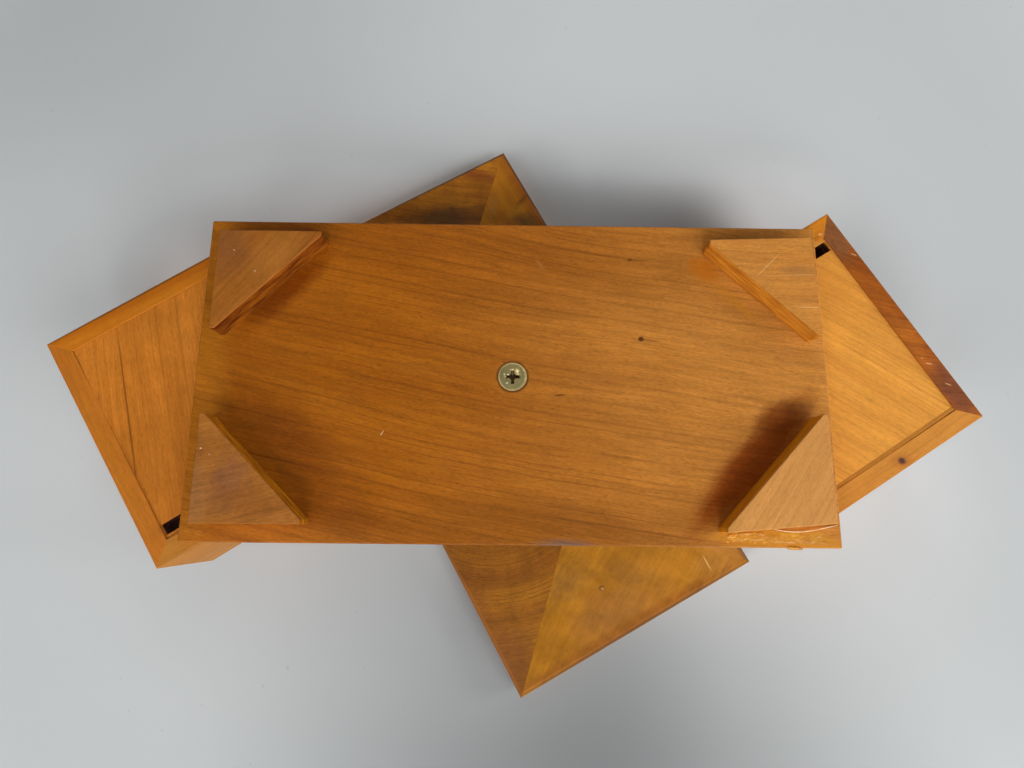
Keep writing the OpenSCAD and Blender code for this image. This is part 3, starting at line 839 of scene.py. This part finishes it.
def lump(name, centre, half, turn, seed):
    """A dried bead of glue: a flattened ball with an uneven skin."""
    work = bmesh.new()
    bmesh.ops.create_icosphere(work, subdivisions=4, radius=1.0)
    for vert in work.verts:
        swell = 1.0 + BEAD_SKIN * noise.noise(vert.co * 1.6 + Vector((seed, seed, 0)))
        swell += 0.4 * BEAD_SKIN * noise.noise(vert.co * 4.0 + Vector((0, seed, seed)))
        vert.co *= swell
    bmesh.ops.scale(work, verts=work.verts, vec=[v * MM for v in half])
    placed(work, spin(turn), [v * MM for v in centre])
    finished(work, name, "base", amber_glue, smooth=True)


def film(name, centre, half, turn, thick, seed):
    """A thin uneven film of glue on the base's underside, closed where it sinks into the wood."""
    work = bmesh.new()
    bmesh.ops.create_grid(work, x_segments=72, y_segments=20, size=1.0)
    for vert in work.verts:
        across = max(abs(vert.co.x) ** 4, abs(vert.co.y) ** 2)
        ragged = noise.noise(Vector((vert.co.x * half[0] * 0.45, vert.co.y * half[1] * 0.45, seed)))
        lumpy = noise.noise(Vector((vert.co.x * half[0] * 1.1, vert.co.y * half[1] * 1.1, seed + 5)))
        vert.co.z = -thick * MM * (0.55 + 0.7 * lumpy + 0.7 * ragged - across * 1.1)
        vert.co.x *= half[0] * MM
        vert.co.y *= half[1] * MM
    grown = bmesh.ops.extrude_face_region(work, geom=list(work.faces))
    for vert in [item for item in grown["geom"] if isinstance(item, bmesh.types.BMVert)]:
        vert.co.z = FILM_BACK
    bmesh.ops.recalc_face_normals(work, faces=work.faces)
    placed(work, spin(turn), (centre[0] * MM, centre[1] * MM, BASE_UNDER))
    finished(work, name, "base", amber_glue, smooth=True)


film("glue_film_by_foot", (88, 53.6), (19, 2.2), turn=0.5, thick=0.22, seed=3.0)
lump("glue_drip_on_edge", (94.1, 56.9, BASE_Z + 0.5), (2.6, 0.7, 0.9), turn=4, seed=1.7)
lump("glue_bead_one", (78.5, 52.4, BASE_Z), (3.0, 0.7, 0.5), turn=-4, seed=4.1)
lump("glue_bead_two", (73.5, 53.2, BASE_Z), (1.6, 0.9, 0.45), turn=-12, seed=6.4)
lump("glue_bead_three", (83.2, 52.5, BASE_Z), (1.2, 0.6, 0.4), turn=20, seed=7.7)


# Wax fills the joints of the tray bottoms that the photograph shows as soft lines. Its slope is in degrees.
WAX_WIDTH = 1.7 * MM
WAX_DEPTH = 0.4 * MM
WAX_ARRIS = 0.08 * MM
WAX_SLOPE = 17.5
WAX_RISE = 0.04 * MM


def fillet(name, start, end, height, body, finish):
    """A strip of old wax that slopes from a wall's arris down to the tray bottom beside it. Start and end lie
    on the joint (mm), with the tray bottom on the left of the run, and height is that of the joint."""
    run = Vector((end[0] - start[0], end[1] - start[1], 0))
    work = bmesh.new()
    bmesh.ops.create_cube(work, size=1.0)
    bmesh.ops.scale(work, verts=work.verts, vec=(run.length * MM, WAX_WIDTH, WAX_DEPTH))
    bevelled(work, work.edges[:], WAX_ARRIS, segments=2)
    turn = Matrix.Rotation(math.atan2(run.y, run.x), 3, "Z") @ spin(WAX_SLOPE, "X")
    placed(work, turn, ((start[0] + end[0]) / 2 * MM, (start[1] + end[1]) / 2 * MM, height))
    finished(work, name, body, finish)


fillet("left_tray_wax", (-119.9, 51.45), (-156.8, -9.45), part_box("left_tray_bottom")[0][2] - WAX_RISE,
       "left_tray", tray_finishes["left_tray_bottom"])
fillet("right_tray_wax", (157.75, 7.65), (107.35, 40.15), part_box("right_tray_bottom")[0][2] + WAX_RISE,
       "right_tray", tray_finishes["right_tray_plain_wall"])


def thread(name, points, thick, body, finish):
    """A fine curled thread of dried glue."""
    curve = bpy.data.curves.new(name, "CURVE")
    curve.dimensions = "3D"
    curve.bevel_depth = thick * MM
    curve.bevel_resolution = 2
    curve.resolution_u = 8
    curve.use_fill_caps = True
    spline = curve.splines.new("NURBS")
    spline.points.add(len(points) - 1)
    for point, (x, y, z) in zip(spline.points, points):
        point.co = (x * MM, y * MM, z * MM, 1)
    spline.use_endpoint_u = True
    spline.order_u = 3
    piece = in_scene(name, curve)
    curve.materials.append(finish)
    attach(piece, body)


thread("glue_thread", [(87.5, 50.9, BASE_Z - 0.3), (92, 51.8, BASE_Z - 0.7), (98, 51.6, BASE_Z - 1.0),
                       (104, 50.4, BASE_Z - 0.8), (108.5, 49.4, BASE_Z - 0.3)],
       thick=0.16, body="base", finish=pale_glue)


# Stage: a floor for the standing box, and the table top that the photograph shows beyond the lid

def one_sided(name, colour, size, height, seen_from_above, fade, shades=()):
    """A pale plane that shows from one side only, and fades away between two distances from the middle.
    Each shade lays painted shade or painted light on an oval patch of it: centre and half size in mm, share,
    and the tint."""
    work = bmesh.new()
    bmesh.ops.create_grid(work, x_segments=1, y_segments=1, size=size / 2)
    bmesh.ops.translate(work, verts=work.verts, vec=(0, 0, height))
    plane = from_work(work, name)
    material = bpy.data.materials.new(name)
    material.use_nodes = True
    tree = material.node_tree
    tree.nodes.clear()
    place = tree.nodes.new("ShaderNodeTexCoord").outputs["Object"]
    far = vector_calc(tree, "LENGTH", vector_calc(tree, "MULTIPLY", place, (1, 1, 0)), out=1)
    there = ease(tree, far, fade[0], fade[1], 1.0, 0.0)
    back = tree.nodes.new("ShaderNodeNewGeometry").outputs["Backfacing"]
    side = minus(tree, 1.0, back) if seen_from_above else back
    slant = put(tree, "ShaderNodeLayerWeight", Blend=0.5).outputs["Facing"]
    shown = times(tree, there, side)
    if not seen_from_above:
        shown = times(tree, shown, ease(tree, slant, 0.7, 0.85, 1.0, 0.0))
    # Mottled paper, with a few specks
    mottle = cloud(tree, place, scale=9.0, detail=4.0, rough=0.6)
    tone = mixed(tree, mottle, shaded(colour, 0.97), shaded(colour, 1.03))
    speck = ease(tree, cloud(tree, place, scale=420.0, detail=0.0), 0.86, 0.9)
    tone = mixed(tree, times(tree, speck, 0.25), tone, (*SPECK_GREY, 1))
    for centre, half, share, tint in shades:
        mask = use(tree, MARK, Place=place, Centre=(centre[0] * MM, centre[1] * MM, height),
                   Half_Size=(half[0] * MM, half[1] * MM, 1.0), Ragged=0.0, Softness=0.95,
                   Strength=share)["Mask"]
        tone = mixed(tree, mask, tone, (tint, tint, tint, 1))
    paint = put(tree, "ShaderNodeBsdfDiffuse", Color=tone).outputs[0]
    clear = put(tree, "ShaderNodeBsdfTransparent").outputs[0]
    surface = mixed_shaders(tree, shown, clear, paint)
    tree.links.new(surface, tree.nodes.new("ShaderNodeOutputMaterial").inputs["Surface"])
    plane.data.materials.append(material)
    for kind in ("shadow", "diffuse", "glossy", "transmission"):
        setattr(plane, "visible_" + kind, False)


PALE_GREY = (0.54, 0.56, 0.565)
TABLE_GREY = (0.605, 0.627, 0.633)
SPECK_GREY = (0.25, 0.25, 0.24)
# Tints for the table's painted shadow and painted light
SHADOW = 0.01
LIGHT = 0.8
BRIGHT = 0.95

one_sided("floor", PALE_GREY, size=3.0, height=-0.02 * MM, seen_from_above=True, fade=(0.3, 1.0))
# Painted shade and painted light on the table: darker corners, the photographer's soft shadow over its
# near side, painted shadows of the box beside the lid and the trays, and painted light in patches on both
# sides of the lid's far end
one_sided("table_top", TABLE_GREY, size=0.9, height=LID_TOP + 0.3 * MM, seen_from_above=False,
          fade=(0.30, 0.42), shades=[
    ((28, 162), (88, 80), 0.6, SHADOW),
    ((-215, -175), (120, 100), 0.2, SHADOW),
    ((215, -175), (80, 70), 0.1, SHADOW),
    ((190, 125), (90, 70), 0.18, SHADOW),
    ((-180, 125), (90, 60), 0.16, SHADOW),
    ((39, -92), (24, 14), 0.3, SHADOW),
    ((-102, -92), (42, 20), 0.4, LIGHT),
    ((104, -94), (40, 20), 0.36, LIGHT),
    ((-50, 63), (63, 56), 0.22, SHADOW),
    ((40, 106), (29, 41), 0.2, SHADOW),
    ((-1, 74), (18, 22), 0.42, SHADOW),
    ((-18, 154), (119, 26), 0.14, SHADOW),
    ((236, -23), (52, 96), 0.2, SHADOW),
    ((80, -82), (26, 17), 0.5, SHADOW),
    ((10, -103), (14, 18), 0.25, SHADOW),
    ((-54, -89), (34, 18), 0.8, BRIGHT),
    ((-150, -56), (16, 18), 0.8, BRIGHT),
    ((122, -92), (24, 20), 0.48, BRIGHT)])

# The room gives little light of its own. What the camera sees of it has the table's colour.
world = bpy.data.worlds.new("room")
bpy.context.scene.world = world
world.use_nodes = True
tree = world.node_tree
tree.nodes.clear()
path = tree.nodes.new("ShaderNodeLightPath").outputs
seen = calc(tree, "MAXIMUM", calc(tree, "MAXIMUM", path["Is Camera Ray"], path["Is Glossy Ray"]),
            path["Is Transmission Ray"])
room_light = put(tree, "ShaderNodeBackground", Color=(0.96, 0.98, 1.0, 1), Strength=0.06).outputs[0]
backdrop = put(tree, "ShaderNodeBackground", Color=(*PALE_GREY, 1), Strength=0.95).outputs[0]
surface = mixed_shaders(tree, seen, room_light, backdrop)
tree.links.new(surface, tree.nodes.new("ShaderNodeOutputWorld").inputs["Surface"])

# Lamps aim at a point above the base's middle
LAMP_AIM = Vector((0, 0, 0.03))


def lamp(name, place, size, power):
    """A square lamp, its size in metres and its power in watts."""
    light = bpy.data.lights.new(name, "AREA")
    light.shape = "SQUARE"
    light.size = size
    light.energy = power
    holder = in_scene(name, light)
    holder.location = place
    holder.rotation_euler = (LAMP_AIM - Vector(place)).to_track_quat("-Z", "Y").to_euler()
    holder.visible_camera = False


# Windows round the photographed side, and two lamps over the standing box
WINDOW = 0.55
lamp("low side window", (1.222, 0.0, -0.415), WINDOW, 7.3)
lamp("right window", (0.683, 0.683, -0.84), WINDOW, 6.1)
lamp("middle window", (0.0, 0.966, -0.84), WINDOW, 6.9)
lamp("low middle window", (0.0, 1.222, -0.415), WINDOW, 3.7)
lamp("left window", (-0.683, 0.683, -0.84), WINDOW, 4.7)
lamp("far window", (0.0, -0.966, -0.84), WINDOW, 2.2)
lamp("key above", (-0.55, -0.55, 0.85), 0.5, 8.0)
lamp("fill above", (0.6, 0.2, 0.9), 0.9, 3.5)

# Camera, fitted to the corners of the base, the lid and the trays. Its focal length is in the photo's pixels.
PHOTO_WIDTH = 1024
FOCAL_LENGTH = 643.4
camera_data = bpy.data.cameras.new("camera")
camera_data.sensor_fit = "HORIZONTAL"
camera_data.sensor_width = 36.0
camera_data.lens = camera_data.sensor_width * FOCAL_LENGTH / PHOTO_WIDTH
camera_data.clip_start = 0.01
camera_data.clip_end = 50
camera = in_scene("camera", camera_data)
right = Vector((0.999911, -0.010278, -0.008533))
up = Vector((-0.011795, -0.979178, -0.202659))
forward = Vector((0.006272, -0.202742, 0.979212))
place = Vector((-1.595, 47.883, -209.394)) * MM
camera.matrix_world = Matrix.Translation(place) @ Matrix((right, up, -forward)).transposed().to_4x4()
bpy.context.scene.camera = camera
bpy.context.scene.view_settings.view_transform = "Standard"
